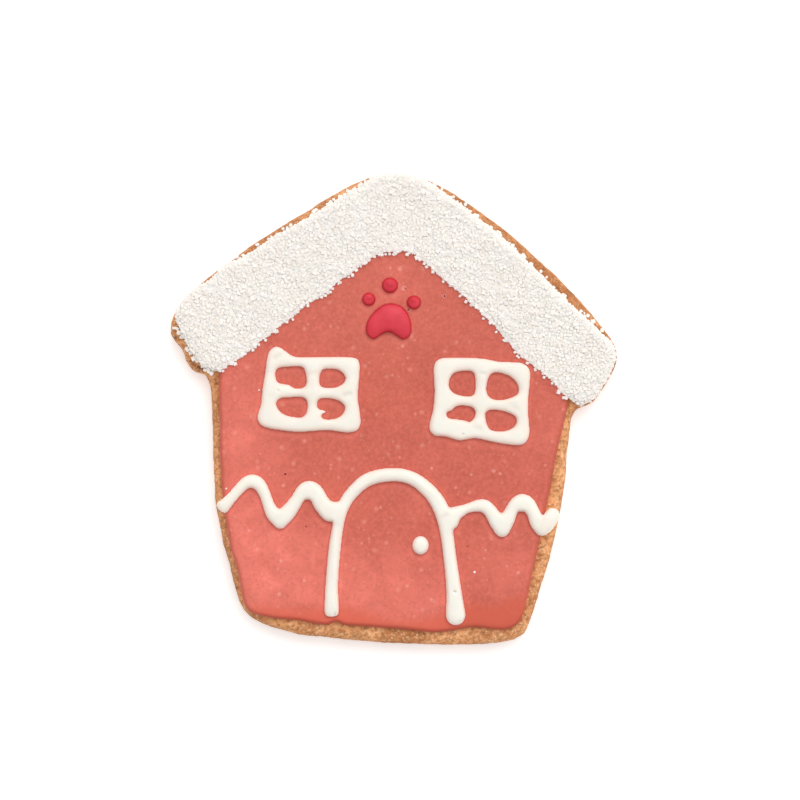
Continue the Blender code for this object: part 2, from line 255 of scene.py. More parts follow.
def new_piece(mesh, material, stands_for=(), smooth=True):
    mesh.materials.append(material)
    mesh.polygons.foreach_set("use_smooth", [smooth] * len(mesh.polygons))
    piece = bpy.data.objects.new(mesh.name, mesh)
    bpy.context.scene.collection.objects.link(piece)
    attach(piece, "root")
    if stands_for:
        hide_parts(*stands_for)
    return piece


def set_attribute(mesh, name, values):
    attribute = mesh.attributes.new(name, "FLOAT", "POINT")
    attribute.data.foreach_set("value", np.asarray(values, np.float32))


def threes(rows, name, kind=np.float32):
    """The three numbers that each of a mesh's rows, such as its points, holds under this name."""
    values = np.empty(len(rows) * 3, kind)
    rows.foreach_get(name, values)
    return values.reshape(-1, 3)


def points_of(mesh):
    return threes(mesh.vertices, "co").astype(float)


def move_points(mesh, co):
    mesh.vertices.foreach_set("co", co.astype(np.float32).ravel())
    mesh.update()


def push_out(mesh, amount):
    """Moves each point of the mesh along its normal."""
    normals = threes(mesh.vertex_normals, "vector").astype(float)
    move_points(mesh, points_of(mesh) + normals * amount[:, None])


def hex_grid(loop, spacing):
    low, high = loop.min(axis=0), loop.max(axis=0)
    row_height = spacing * math.sqrt(3) / 2
    rows = np.arange(low[1], high[1], row_height)
    columns = np.arange(low[0], high[0], spacing)
    x, y = np.meshgrid(columns, rows)
    x = x + (np.arange(len(rows)) % 2)[:, None] * spacing / 2
    return np.column_stack([x.ravel(), y.ravel()])


ROUND_EXTRA = 0.3 * MM  # how far other points stay from an extra one


def spread_inside(loop, bands, extra):
    """Points inside the loop: bands are (depth, spacing) pairs, and each spacing holds down to its depth."""
    chosen, upper = [], 0.0
    for lower, spacing in bands:
        grid = hex_grid(loop, spacing)
        depth = depth_inside(grid, [loop])
        chosen.append(grid[(depth > upper + 0.6 * spacing) & (depth < lower)])
        upper = lower
    points = np.vstack(chosen)
    if not len(extra):
        return points
    return np.vstack([points[distance_to_nearest(points, extra) > ROUND_EXTRA], extra])


def triangles_within(ring, inner):
    """Triangles that fill the ring through the inner points, numbered ring first."""
    count = len(ring)
    corners = [Vector(point) for point in np.vstack([ring, inner]) / MM]
    edges = [(i, (i + 1) % count) for i in range(count)]
    _, _, faces, came_from, _, _ = delaunay_2d_cdt(corners, edges, [], 1, 1e-6)
    number = np.array([source[0] for source in came_from])
    return number[np.array(faces)]


def slab(name, loop, section, base, bands, under_spacing, extra=()):
    """A closed layer within the loop, with its top's points in bands, and extra ones there.

    Section is (inset, height above base) pairs in millimetres, from its underside, out round its edge, to its
    top.
    """
    rings = []
    for inset, height in section:
        ring = moved_inward(loop, inset * MM)
        rings.append(np.column_stack([ring, np.full(len(ring), base + height * MM)]))
    count = len(loop)
    here = np.arange(count)
    ahead = (here + 1) % count
    quads = []
    for r in range(len(rings) - 1):
        low, high = r * count, (r + 1) * count
        quads.append(np.column_stack([low + here, low + ahead, high + ahead, high + here]))
    co, triangles = np.vstack(rings), []
    for ring, spacing_bands, more, facing_up in (
        (rings[0], [(ALL_THE_WAY, under_spacing)], (), False),
        (rings[-1], bands, extra, True),
    ):
        inner = spread_inside(ring[:, :2], spacing_bands, more)
        filled = triangles_within(ring[:, :2], inner)
        start = (len(rings) - 1) * count if facing_up else 0
        number = np.where(filled < count, filled + start, filled - count + len(co))
        triangles.append(number if facing_up else number[:, ::-1])
        co = np.vstack([co, np.column_stack([inner, np.full(len(inner), ring[0, 2])])])
    return new_mesh(name, co, np.vstack(quads), np.vstack(triangles))


def surface_net(field, low, cell):
    """(points, quads) of the surface where a field on a grid passes zero. It is positive inside."""
    inside = field > 0
    shape = np.array(field.shape)
    total = np.zeros((*(shape - 1), 3))
    crossings = np.zeros(shape - 1)
    corners = np.array(CORNERS)
    step = np.eye(3, dtype=int)

    def part(array, shift, size):
        return array[tuple(slice(s, s + n) for s, n in zip(shift, size))]

    for axis in range(3):
        for shift in corners[corners[:, axis] == 0]:
            a = part(field, shift, shape - 1)
            b = part(field, shift + step[axis], shape - 1)
            crossed = (a > 0) != (b > 0)
            share = np.where(crossed, a / np.where(crossed, a - b, 1), 0)
            total += crossed[..., None] * (shift + share[..., None] * step[axis])
            crossings += crossed
    kept = crossings > 0
    number = np.full(shape - 1, -1)
    number[kept] = np.arange(kept.sum())
    cells = np.argwhere(kept)
    points = low + (cells + total[kept] / crossings[kept][:, None]) * cell
    quads = []
    for axis in range(3):
        across, up = [i for i in range(3) if i != axis]
        a = part(inside, (0, 0, 0), shape - step[axis])
        b = part(inside, step[axis], shape - step[axis])
        at = np.argwhere(a != b)
        at = at[(at[:, across] > 0) & (at[:, up] > 0)]
        leaving = a[tuple(at.T)]
        around = [at - step[across] - step[up], at - step[up], at, at - step[across]]
        quad = np.column_stack([number[tuple(corner.T)] for corner in around])
        if axis == 1:
            leaving = ~leaving
        quads.append(np.where(leaving[:, None], quad, quad[:, ::-1]))
    return points, np.vstack(quads)


RELAX_PULLS = (0.5, -0.52) * 3  # towards the neighbours and then back, in turn
FILM_ROUNDS = 500


def relaxed(points, quads):
    """The points drawn towards the middle of their neighbours and back, which leaves them smoother."""
    ends = np.vstack([np.column_stack([quads[:, i], quads[:, (i + 1) % 4]]) for i in range(4)])
    ends = np.vstack([ends, ends[:, ::-1]])
    valence = np.bincount(ends[:, 0], minlength=len(points))[:, None]
    for pull in RELAX_PULLS:
        total = np.column_stack(
            [np.bincount(ends[:, 0], points[ends[:, 1], i], len(points)) for i in range(3)]
        )
        points = points + pull * (total / valence - points)
    return points


def swelling(depth, cell, half_width):
    """On a grid, the square of the height of icing that swells over the shape where depth is above zero.

    It is a film's height squared: it meets the shape's edge steeply, rounds off over a line and stands higher
    where lines run together. Outside the shape it goes on below zero, so that its edge isn't stepped.
    """
    inside = depth > 0
    level = np.where(inside, np.maximum(2 * half_width * depth - depth**2, 0), 0)
    divisor = np.full(depth.shape, 4.0)
    sides = ((0, 1), (0, -1), (1, 1), (1, -1))
    for axis, shift in sides:
        beside = np.roll(depth, shift, axis)
        share = np.clip(depth / np.where(beside <= 0, depth - beside, 1), 0.1, 1)
        divisor += np.where(inside & (beside <= 0), 1 / share - 1, 0)
    for _ in range(FILM_ROUNDS):
        total = sum(np.roll(level, shift, axis) for axis, shift in sides)
        level = np.where(inside, (total + 2 * cell**2) / divisor, 0)
    return np.where(inside, level, 2 * half_width * depth)


# ================================================================ materials
def put(tree, kind, inputs, **settings):
    """A new node with its settings and inputs. An input is a plain value or another node's output."""
    node = tree.nodes.new(kind)
    for name, value in settings.items():
        setattr(node, name, value)
    for name, value in inputs.items():
        if isinstance(value, bpy.types.NodeSocket):
            tree.links.new(value, node.inputs[name])
        else:
            node.inputs[name].default_value = value
    return node


def new_material(name, constants):
    """A material whose shader has these constant inputs."""
    material = bpy.data.materials.new(name)
    material.use_nodes = True
    for socket, value in constants.items():
        material.node_tree.nodes["Principled BSDF"].inputs[socket].default_value = value
    return material


class Look:
    """A material in the making: it starts in one colour, and others go over it in turn.

    Colours are three linear numbers, and sizes are in millimetres. Every texture is from 0 to 1.
    """

    def __init__(self, name, colour, constants):
        self.material = new_material(name, constants)
        self.colour = (*colour, 1.0)

    def put(self, kind, inputs, output=0, **settings):
        return put(self.material.node_tree, kind, inputs, **settings).outputs[output]

    def place(self, *shift):
        """The place in object space, shifted so that no two textures lie alike."""
        inputs = {0: self.put("ShaderNodeTexCoord", {}, "Object"), 1: shift}
        return self.put("ShaderNodeVectorMath", inputs, operation="ADD")

    def noise(self, size, seed, detail=2.0, roughness=0.5):
        """Noise whose features are about this size."""
        inputs = {"Scale": 0.6 / (size * MM), "Detail": detail, "Roughness": roughness}
        inputs["Vector"] = self.place(7.3 * seed, 3.1 * seed, 1.7 * seed)
        return self.put("ShaderNodeTexNoise", inputs)

    def within(self, value, low, high):
        """From 0 at low to 1 at high, eased at both ends. Low may be the larger."""
        inputs = {"Value": value, "From Min": low, "From Max": high}
        return self.put("ShaderNodeMapRange", inputs, interpolation_type="SMOOTHSTEP")

    def multiplied(self, a, b):
        return self.put("ShaderNodeMath", {0: a, 1: b}, operation="MULTIPLY")

    def dots(self, size, share, seed, radius):
        """Soft dots: this share of the cells of this size holds one."""
        inputs = {"Vector": self.place(5.9 * seed, 2.3 * seed, 4.1 * seed), "Scale": 1 / (size * MM)}
        cells = put(self.material.node_tree, "ShaderNodeTexVoronoi", inputs)
        near = self.within(cells.outputs["Distance"], radius, 0.0)
        chosen = self.put("ShaderNodeSeparateColor", {0: cells.outputs["Color"]})
        return self.multiplied(near, self.within(chosen, share + 0.01, share - 0.01))

    def cover(self, where, colour, strength=1.0):
        """Puts a colour where a texture is 1. The texture may be the name of a mesh's attribute."""
        if isinstance(where, str):
            where = self.put("ShaderNodeAttribute", {}, "Fac", attribute_name=where)
        share = where if strength == 1.0 else self.multiplied(where, strength)
        inputs = {0: share, 6: self.colour, 7: (*colour, 1.0)}
        self.colour = self.put("ShaderNodeMix", inputs, 2, data_type="RGBA")

    def finished(self, rough, low, high, height, depth):
        """The material. One texture sets its roughness from low to high, and one is a bump of this depth."""
        bump = {"Height": height, "Distance": depth * MM, "Strength": 1.0}
        outputs = {
            "Base Color": self.colour,
            "Roughness": self.put("ShaderNodeMapRange", {"Value": rough, "To Min": low, "To Max": high}),
            "Normal": self.put("ShaderNodeBump", bump),
        }
        tree = self.material.node_tree
        for socket, output in outputs.items():
            tree.links.new(output, tree.nodes["Principled BSDF"].inputs[socket])
        return self.material


def crust_material():
    """Baked gingerbread: sandy crumb of golden and brown bits, with pale crystals and dark dots, and painted
    shade in its pores and cracks.
    """
    golden, brown, dark = (0.95, 0.445, 0.19), (0.64, 0.25, 0.092), (0.17, 0.052, 0.016)
    look = Look("gingerbread", golden, {"Specular IOR Level": 0.3})
    look.cover(look.within(look.noise(4.0, 1, 3.0), 0.36, 0.66), brown)
    crumb = look.within(look.noise(0.55, 2, 3.0, 0.7), 0.42, 0.62)
    look.cover(crumb, (0.40, 0.145, 0.048), 0.72)
    look.cover(look.within(look.noise(0.35, 7, 2.0, 0.7), 0.52, 0.66), (0.97, 0.60, 0.32), 0.75)
    look.cover(look.dots(0.7, 0.12, 3, 0.45), (0.98, 0.78, 0.52), 0.8)
    look.cover(look.dots(0.8, 0.1, 4, 0.42), dark, 0.6)
    # toasted crust, with painted shade on the rounded top edge
    look.cover("toast_and_edge_shade", (0.36, 0.125, 0.035))
    # painted shade in the pores and the cracks
    look.cover("pit_shade", dark)
    return look.finished(crumb, 0.6, 0.85, look.noise(0.5, 5, 4.0, 0.65), 0.2)


def wall_material():
    """Coral red flood icing, mottled at several sizes and flecked with pale dots."""
    light, deep, deeper = (0.63, 0.128, 0.081), (0.535, 0.102, 0.063), (0.50, 0.096, 0.062)
    constants = {"Specular IOR Level": 0.35, "Subsurface Weight": 0.15, "Subsurface Scale": 0.6 * MM}
    look = Look("wall_icing", light, constants)
    look.cover(look.within(look.noise(9.0, 1), 0.3, 0.7), deep, 0.7)
    # paler places, and painted light bounced from the white piping onto the red beside it
    look.cover("paler_and_bounce_light", (0.98, 0.245, 0.185))
    look.cover(look.within(look.noise(3.6, 8), 0.35, 0.65), deeper, 0.3)
    mottle = look.within(look.noise(1.6, 2, 3.0), 0.3, 0.7)
    look.cover(mottle, deeper, 0.2)
    look.cover(look.within(look.noise(0.5, 7, 2.0, 0.6), 0.34, 0.66), (0.86, 0.20, 0.145), 0.3)
    look.cover(look.within(look.noise(0.4, 9, 2.0, 0.6), 0.45, 0.7), (0.48, 0.088, 0.056), 0.25)
    for size, share, seed, strength in ((2.6, 0.22, 3, 0.38), (1.7, 0.16, 4, 0.38), (1.1, 0.15, 5, 0.3)):
        look.cover(look.dots(size, share, seed, 0.32), (0.92, 0.40, 0.32), strength)
    look.cover("pale", (0.94, 0.46, 0.38))
    look.cover("thin", (0.76, 0.13, 0.072))
    # painted shade along the edge and a painted contact shadow round the piping
    look.cover("rim_shade", (0.43, 0.062, 0.028))
    # painted shade in the pinholes
    look.cover("hollow_shade", (0.06, 0.008, 0.006))
    return look.finished(mottle, 0.42, 0.56, look.noise(0.5, 6, 3.0), 0.012)


def white_material(name="white_icing"):
    constants = {
        "Specular IOR Level": 0.4, "Subsurface Weight": 0.5, "Subsurface Scale": 1.0 * MM,
        "Subsurface Radius": (1.0, 0.75, 0.5),
    }
    look = Look(name, (0.955, 0.905, 0.82), constants)
    look.cover(look.within(look.noise(2.6, 1, 3.0), 0.3, 0.7), (0.93, 0.875, 0.79))
    # painted shade and painted red bounce light round the edges, partly the red showing through thin icing
    look.cover("edge_shade", (0.97, 0.80, 0.71))
    # painted shade in the furrows between piped lines
    look.cover("hollow_shade", (0.60, 0.53, 0.42))
    return look.finished(look.noise(1.2, 2), 0.34, 0.5, look.noise(0.6, 3, 3.0), 0.012)


def sugar_material():
    """Sugar crystals: frosted grains, pinker where they lie over the red: painted red light, bounced onto
    them and seen through them.
    """
    constants = {
        "Specular IOR Level": 0.4, "IOR": 1.45, "Subsurface Weight": 0.25, "Subsurface Scale": 0.3 * MM,
        "Subsurface Radius": (1.0, 0.95, 0.88),
    }
    look = Look("sugar", (0.98, 0.912, 0.848), constants)
    look.cover("tone", (0.992, 0.938, 0.88))
    look.cover(look.within(look.noise(2.6, 4), 0.42, 0.64), (0.915, 0.842, 0.775), 0.35)
    # painted red light on the grains over the red
    look.cover("red_bounce", (0.94, 0.78, 0.77), 0.6)
    frost = look.noise(0.3, 2)
    return look.finished(frost, 0.2, 0.5, frost, 0.01)


def berry_material():
    constants = {"Specular IOR Level": 0.4, "Subsurface Weight": 0.15, "Subsurface Scale": 0.5 * MM}
    look = Look("berry_icing", (0.75, 0.043, 0.069), constants)
    look.cover(look.within(look.noise(1.8, 1, 3.0), 0.3, 0.7), (0.665, 0.032, 0.054))
    # painted shade round the edges, partly a deeper colour at the rims
    look.cover("edge_shade", (0.52, 0.010, 0.026))
    return look.finished(look.noise(1.0, 2), 0.36, 0.5, look.noise(0.5, 3, 3.0), 0.01)


# ================================================================ the pieces
def on_ground(points):
    """(x, y, 0) for each point."""
    return np.column_stack([points[:, :2], np.zeros(len(points))])


def edge_noise(loop, size, amount, seed):
    """The outline moved in and out a little."""
    return loop + inward_normals(loop) * (noise(on_ground(loop), size, seed) * amount)[:, None]


def distance_to(points, x, y):
    """How far each point is, seen from above, from a place in millimetres."""
    return np.hypot(points[:, 0] - x * MM, points[:, 1] - y * MM)


def faded(distance, reach):
    """From 1 at no distance to nearly 0 at twice the reach, which is in millimetres."""
    return np.exp(-((distance / (reach * MM)) ** 2))


def spots(points, places):
    """From 0 to 1 inside roundish marks. Places are (x, y, radius) in millimetres."""
    strength = np.zeros(len(points))
    uneven = 1 + 0.3 * noise(on_ground(points), 0.5 * MM, 9)
    for x, y, radius in places:
        far = distance_to(points, x, y) / (radius * MM) * uneven
        strength = np.maximum(strength, 1 - smooth_step(far, 0.45, 1.0))
    return strength


def furrows(points, places):
    """Depths in metres at the points. Places are (x, y, x, y, reach, depth) in millimetres.

    Each is a soft valley along the line between two points, or a ridge where its depth is below zero.
    """
    depth = np.zeros(len(points))
    for x, y, end_x, end_y, reach, most in places:
        start, along = np.array([x, y]) * MM, np.array([end_x - x, end_y - y]) * MM
        share = np.clip((points[:, :2] - start) @ along / max(along @ along, 1e-12), 0, 1)
        far = np.linalg.norm(points[:, :2] - start - share[:, None] * along, axis=1)
        depth += most * MM * faded(far, reach)
    return depth


COOKIE_STEP = 0.36 * MM
COOKIE_SECTION = [  # (inset, height) in millimetres
    (1.2, 0.0), (0.75, 0.1), (0.4, 0.3), (0.17, 0.62), (0.05, 1.0), (0.0, 1.4), (0.0, 1.8), (0.0, 2.2),
    (0.0, 2.6), (0.0, 3.0), (0.0, 3.4), (0.0, 3.8), (0.02, 4.2), (0.07, 4.6), (0.16, 4.98), (0.32, 5.32),
    (0.55, 5.6), (0.84, 5.82), (1.18, 5.97), (1.54, 6.06), (1.9, 6.1),
]
CRACKS = [  # (x, y, radius) in millimetres: where the crust split at the left eave
    (-48.7, 15.8, 0.5), (-45.3, 10.5, 0.5), (-44.9, 9.9, 0.5), (-44.4, 9.5, 0.4), (-43.7, 9.3, 0.5),
    (-43.1, 9.1, 0.5), (-42.6, 8.7, 0.5), (-43.6, 8.4, 0.35), (-39.8, 6.2, 0.4), (-39.7, 5.4, 0.4),
]


def make_cookie(material):
    """The crust. Its top has few points further in, where icing covers it."""
    outline = smoothed(level_loops("cookie")[0], 1.0 * MM, COOKIE_STEP)
    outline = edge_noise(outline, 5 * MM, 0.12 * MM, 11)
    bands = [(4.2 * MM, COOKIE_STEP), (ALL_THE_WAY, 2.4 * MM)]
    mesh = slab("baked_cookie", outline, COOKIE_SECTION, 0.0, bands, 0.9 * MM)
    co = points_of(mesh)
    left_eave = ramp(co[:, 0], -39.5, -41.5) * ramp(co[:, 1], 22, 18)
    cracks = spots(co, CRACKS) * ramp(co[:, 2], 2.0, 4.0)
    pores = pits(co, 1.1 * MM, 0.3, 21) * ramp(co[:, 2], 0.2, 0.8)
    fine_pores = pits(co, 0.75 * MM, 0.3, 22)
    lumps = rough_noise(co, 6 * MM, 23, 2) * 0.12 + left_eave * rough_noise(co, 2.6 * MM, 24) * 0.3
    crumb = rough_noise(co, 1.0 * MM, 25) * 0.12
    above_foot = ramp(co[:, 2], 0.0, 0.5)
    push_out(mesh, (lumps * above_foot + crumb - 0.16 * pores - 0.1 * fine_pores - 0.4 * cracks) * MM)
    moved = points_of(mesh)
    moved[:, 2] = np.maximum(moved[:, 2], 0)
    move_points(mesh, moved)
    # painted shade in the pores and the cracks
    set_attribute(mesh, "pit_shade", np.clip(0.4 * pores + 0.25 * fine_pores + 0.75 * cracks, 0, 1))
    # Darker low on the sides, where it baked browner, and towards the top and the right. The edge term
    # darkens the rounded top edge: partly browner baking, partly painted shade.
    toast_and_shade = ramp(co[:, 2], 1.6, 0.0) * 0.62
    upper = ramp(co[:, 1], 2, 14) * (1 - left_eave)
    edge = ramp(co[:, 2], 5.95, 4.8) * (1 - upper) * (1 - 0.6 * left_eave)
    toast_and_shade += upper * (0.3 + 0.28 * ramp(co[:, 0], 0, 15)) + 0.35 * edge
    set_attribute(mesh, "toast_and_edge_shade", np.clip(toast_and_shade + 0.5 * rough_noise(co, 3 * MM, 26), 0, 0.85))
    return new_piece(mesh, material, ["cookie"])


WALL_STEP = 0.4 * MM
UNDER_SNOW = 2.0 * MM  # how far the wall's icing runs on under the snow
WALL_SECTION = [  # (inset, height above the cookie's top) in millimetres
    (0.3, -0.15), (0.12, 0.1), (0.03, 0.35), (0.0, 0.6), (0.05, 0.85), (0.16, 1.07), (0.34, 1.24),
    (0.6, 1.36), (0.95, 1.44), (1.4, 1.48),
]
PINHOLES = [  # (x, y, radius) in millimetres, as in the next two
    (-24.2, -14.6, 0.32), (-19.6, -26.3, 0.17), (16.3, -30.7, 0.17), (3.1, 21.9, 0.2), (3.3, 22.1, 0.2),
    (-31.5, -1.7, 0.15), (-7.2, -5.9, 0.15), (-0.1, -7.3, 0.15), (2.5, 26.6, 0.18), (11.2, 25.0, 0.19),
]
BURST_BUBBLES = [
    (-31.6, -1.7, 0.5), (-7.3, -5.9, 0.5), (-0.2, -7.3, 0.45), (2.2, 26.7, 0.75), (11.1, 25.0, 0.5),
    (1.3, 31.1, 0.75), (3.2, 22.0, 0.6),
]
PALE_SPECKS = [
    (-30.4, -31.3, 0.45), (-25.1, -33.9, 0.5), (-25.5, -41.3, 0.55), (-19.9, -38.3, 0.45),
    (-32.2, -27.1, 0.5), (-24.6, -17.1, 0.5), (22.2, -13.9, 0.6), (23.6, -14.5, 0.45), (17.2, -14.7, 0.4),
    (8.3, -13.3, 0.4), (20.3, -31.5, 0.4), (27.6, -36.5, 0.45), (2.9, -39.5, 0.4), (8.3, -42.4, 0.45),
    (13.7, -17.6, 0.35), (-0.8, 31.3, 0.35), (-22.0, -21.0, 0.35), (31.0, -36.0, 0.35), (-3.0, -22.0, 0.35),
    (1.9, 13.9, 0.5),
]
WRINKLES = [  # as for furrows()
    (-27.0, -44.9, -19.0, -44.6, 0.5, 0.05), (26.5, -31.5, 30.7, -31.4, 0.4, 0.04),
    (-3.0, -7.4, 9.0, -9.2, 1.3, 0.06), (-34.5, 4.4, -31.2, 6.0, 0.9, 0.05),
    (15.5, 24.6, 19.0, 21.6, 1.2, 0.05), (27.5, -28.5, 31.5, -29.6, 1.0, 0.06),
    (-8.0, 8.5, -2.0, 7.0, 1.4, 0.05), (-6.0, -28.0, 4.0, -27.4, 1.6, 0.05),
]
PALER_PLACES = [  # (x, y, reach, strength): below zero where it is darker
    (-30.0, -35.0, 12.0, 0.95), (-35.0, -4.0, 8.0, 0.6), (-32.0, -15.0, 9.0, 0.4), (0.0, -37.0, 9.0, 0.35),
    (26.0, -36.0, 9.0, 0.3), (-16.0, -37.0, 8.0, 0.45), (36.0, -4.0, 7.0, 0.25), (-16.0, 18.0, 5.0, 0.2),
    (-37.0, -24.0, 6.0, 0.35), (-34.0, 8.0, 6.0, 0.4), (0.0, 26.0, 9.0, 0.3), (-8.0, -43.5, 8.0, 0.4),
    (8.0, -44.0, 7.0, 0.55), (6.0, -20.0, 4.0, 0.25), (20.0, -47.0, 5.0, -0.6),
    (-6.0, 4.0, 5.0, -0.2), (12.0, 4.0, 7.0, -0.2), (26.0, 0.0, 8.0, -0.2),
]
MARK_STEP = 0.14  # millimetres between points round a mark
MARK_RINGS = (0.14, 0.28, 0.42, 0.6, 0.8)  # their radii in millimetres
SHORES = (-0.34, -0.12, 0.12, 0.34)  # millimetres out from piping's edge: the wall has points there
TOES = ["paw_toe_left", "paw_toe_top", "paw_toe_right"]
PIPED_NODES = ["window_left", "window_right", "door_and_drifts", "door_knob", "paw_pad", *TOES]


def rings_round(places):
    """Points in rings round each place, in metres. Places are in millimetres."""
    points = []
    for x, y, _ in places:
        for radius in MARK_RINGS:
            count = max(6, round(2 * math.pi * radius / MARK_STEP))
            turns = np.arange(count) * 2 * math.pi / count
            points.append(np.column_stack([x + radius * np.cos(turns), y + radius * np.sin(turns)]))
        points.append(np.array([[x, y]]))
    return np.vstack(points) * MM


def wall_outline():
    """The edge of the wall's icing. Where it meets the snow it runs on a little under it."""
    outline = smoothed(level_loops("wall_icing")[0], 0.5 * MM, WALL_STEP)
    outline = edge_noise(outline, 2.5 * MM, 0.1 * MM, 31)
    snow = evenly_spaced(level_loops("roof_icing")[0], WALL_STEP)
    meets_snow = ramp(np.abs(depth_inside(outline, [snow])), 2.0, 0.9)
    meets_snow *= smooth_step(-inward_normals(outline)[:, 1], -0.1, 0.5)
    outline = outline + np.column_stack([np.zeros(len(outline)), meets_snow * UNDER_SNOW])
    return smoothed(outline, 0.7 * MM, WALL_STEP)


def tint_wall(mesh, co, outline, piping):
    """Marks where the icing is paler: in places, and beside the piping, where painted light bounced from the
    white icing lies on the red. Marks where it is deeper at its edges: painted shade, a painted contact
    shadow round the piping, and more orange where it thins at the foot.
    """
    paler_and_bounce_light = sum(
        strength * faded(distance_to(co, x, y), reach) for x, y, reach, strength in PALER_PLACES
    )
    from_piping = -depth_inside(co[:, :2], piping)
    below_piping = -depth_inside(co[:, :2] + np.array([0.2, 0.6]) * MM, piping)
    # painted light: the red beside and below the piping is made paler, as if lit by light bounced from the
    # white icing
    beside = ramp(below_piping, 1.3, 0.3)
    set_attribute(mesh, "paler_and_bounce_light", np.clip(paler_and_bounce_light + 0.1 + 0.35 * beside, 0, 1))
    # painted contact shadow on the red round the piping
    contact_shadow = ramp(np.minimum(from_piping, below_piping + 0.4 * MM), 0.3, 0.1)
    rightward = ramp(co[:, 0], 8, 18)
    foot = co[:, 1] + 1.2 * MM * noise(co * (1, 0, 0), 7 * MM, 35) - 1.6 * MM * rightward
    foot += 2.4 * MM * faded(co[:, 0], 11)
    toward_foot = ramp(foot, -42.5, -46.5)
    at_foot = ramp(co[:, 1], -45, -47)
    # painted shade along the edge, stronger at the foot, partly the deeper colour where the icing thins;
    # darker towards the right of the foot
    rim_shade = ramp(depth_inside(co[:, :2], [outline]), 1.0, 0.15) * (0.55 + 0.3 * at_foot)
    set_attribute(mesh, "rim_shade", np.maximum(rim_shade, np.maximum(0.22 * contact_shadow, 0.25 * toward_foot * rightward)))
    set_attribute(mesh, "thin", 0.75 * toward_foot)


def make_wall(material):
    """The flood icing, with more points where it has marks and where piping meets it."""
    outline = wall_outline()
    piping = [evenly_spaced(loop, 0.3 * MM) for name in PIPED_NODES for loop in level_loops(name)]
    shores = [loop - inward_normals(loop) * far * MM for loop in piping for far in SHORES]
    refined = np.vstack([rings_round(PINHOLES + BURST_BUBBLES + PALE_SPECKS), *shores])
    bands = [(ALL_THE_WAY, 0.52 * MM)]
    mesh = slab("flooded_wall", outline, WALL_SECTION, COOKIE_TOP, bands, 1.5 * MM, refined)
    co = points_of(mesh)
    on_top = smooth_step(co[:, 2], COOKIE_TOP + 1.0 * MM, COOKIE_TOP + 1.4 * MM)
    waves = noise(co, 13 * MM, 32) * 0.06 + noise(co, 4.5 * MM, 33) * 0.022 + noise(co, 1.5 * MM, 34) * 0.006
    holes = spots(co, PINHOLES)
    craters = spots(co, BURST_BUBBLES)
    crater_floor = spots(co, [(x, y, 0.6 * radius) for x, y, radius in BURST_BUBBLES])
    dents = -0.4 * holes + 0.05 * craters - 0.09 * crater_floor
    push_out(mesh, on_top * ((waves + dents) * MM - furrows(co, WRINKLES)))
    # painted shade in the pinholes
    set_attribute(mesh, "hollow_shade", on_top * 0.85 * holes)
    set_attribute(mesh, "pale", on_top * np.clip(0.4 * spots(co, PALE_SPECKS) + 0.4 * craters, 0, 1))
    tint_wall(mesh, co, outline, piping)
    return new_piece(mesh, material, ["wall_icing"])


PIPING_CELL = 0.17 * MM
PIPED_LIFT = 0.25  # share of a piped line's height that is below its widest level
UNDERCUT = 0.6  # how fast a piped line narrows below that level, beside 1 above it
OUTLINE_STEP = 0.25 * MM
WINDOW_FURROWS = [  # as for furrows(), like the next two
    (-26.5, 11.2, -25.3, 12.0, 0.6, 0.15), (-26.2, 13.0, -25.4, 13.2, 0.8, -0.12),
    (-17.8, 9.5, -17.75, 8.9, 0.5, -0.13), (-18.9, 7.7, -16.7, 7.7, 0.6, 0.08),
    (-17.6, 6.6, -17.8, 3.6, 0.45, -0.06), (-11.0, 2.9, -9.9, 3.2, 0.6, 0.16),
    (-10.2, 4.7, -9.5, 5.4, 0.7, -0.12), (-28.0, 8.2, -28.0, 8.2, 0.17, 0.25),
    (-25.8, 4.0, -25.7, 4.0, 0.2, 0.22), (-27.6, 2.8, -26.8, 2.9, 0.6, 0.05),
    (-15.6, -3.2, -13.0, -3.4, 0.5, -0.06), (19.9, 9.3, 20.0, 8.7, 0.5, -0.13),
    (19.1, 7.8, 20.4, 7.8, 0.45, 0.11), (18.2, -4.3, 19.0, -4.6, 0.7, 0.13),
    (15.3, -5.7, 15.25, -5.75, 0.17, 0.3), (26.5, 0.3, 27.4, -0.2, 0.7, 0.13),
    (26.0, 1.6, 27.0, 2.0, 0.6, -0.1), (25.6, 9.1, 25.6, 9.1, 0.16, 0.15),
    (19.8, 6.4, 19.8, 2.8, 0.45, -0.06), (20.0, -0.8, 19.8, -3.0, 0.45, -0.06),
    (21.6, -4.9, 24.4, -6.2, 0.6, -0.06),
]
TOE_PEAKS = [
    (-0.9, 27.9, -0.7, 27.9, 0.6, -0.4), (-5.5, 24.8, -5.3, 24.8, 0.5, -0.35),
    (4.3, 24.2, 4.5, 24.2, 0.5, -0.35),
]
DOOR_FURROWS = [
    (13.4, -40.6, 13.6, -40.7, 0.22, 0.35), (10.5, -24.3, 11.6, -23.6, 0.5, 0.14),
    (-13.4, -24.0, -13.3, -44.0, 0.3, -0.09), (-12.3, -26.0, -12.2, -43.0, 0.3, 0.07),
    (10.9, -27.0, 12.5, -43.0, 0.35, -0.08), (-13.1, -45.5, -13.1, -46.0, 0.3, 0.25),
    (-8.8, -18.3, -3.0, -14.9, 0.4, -0.08), (3.0, -14.8, 8.4, -18.8, 0.4, -0.08),
]


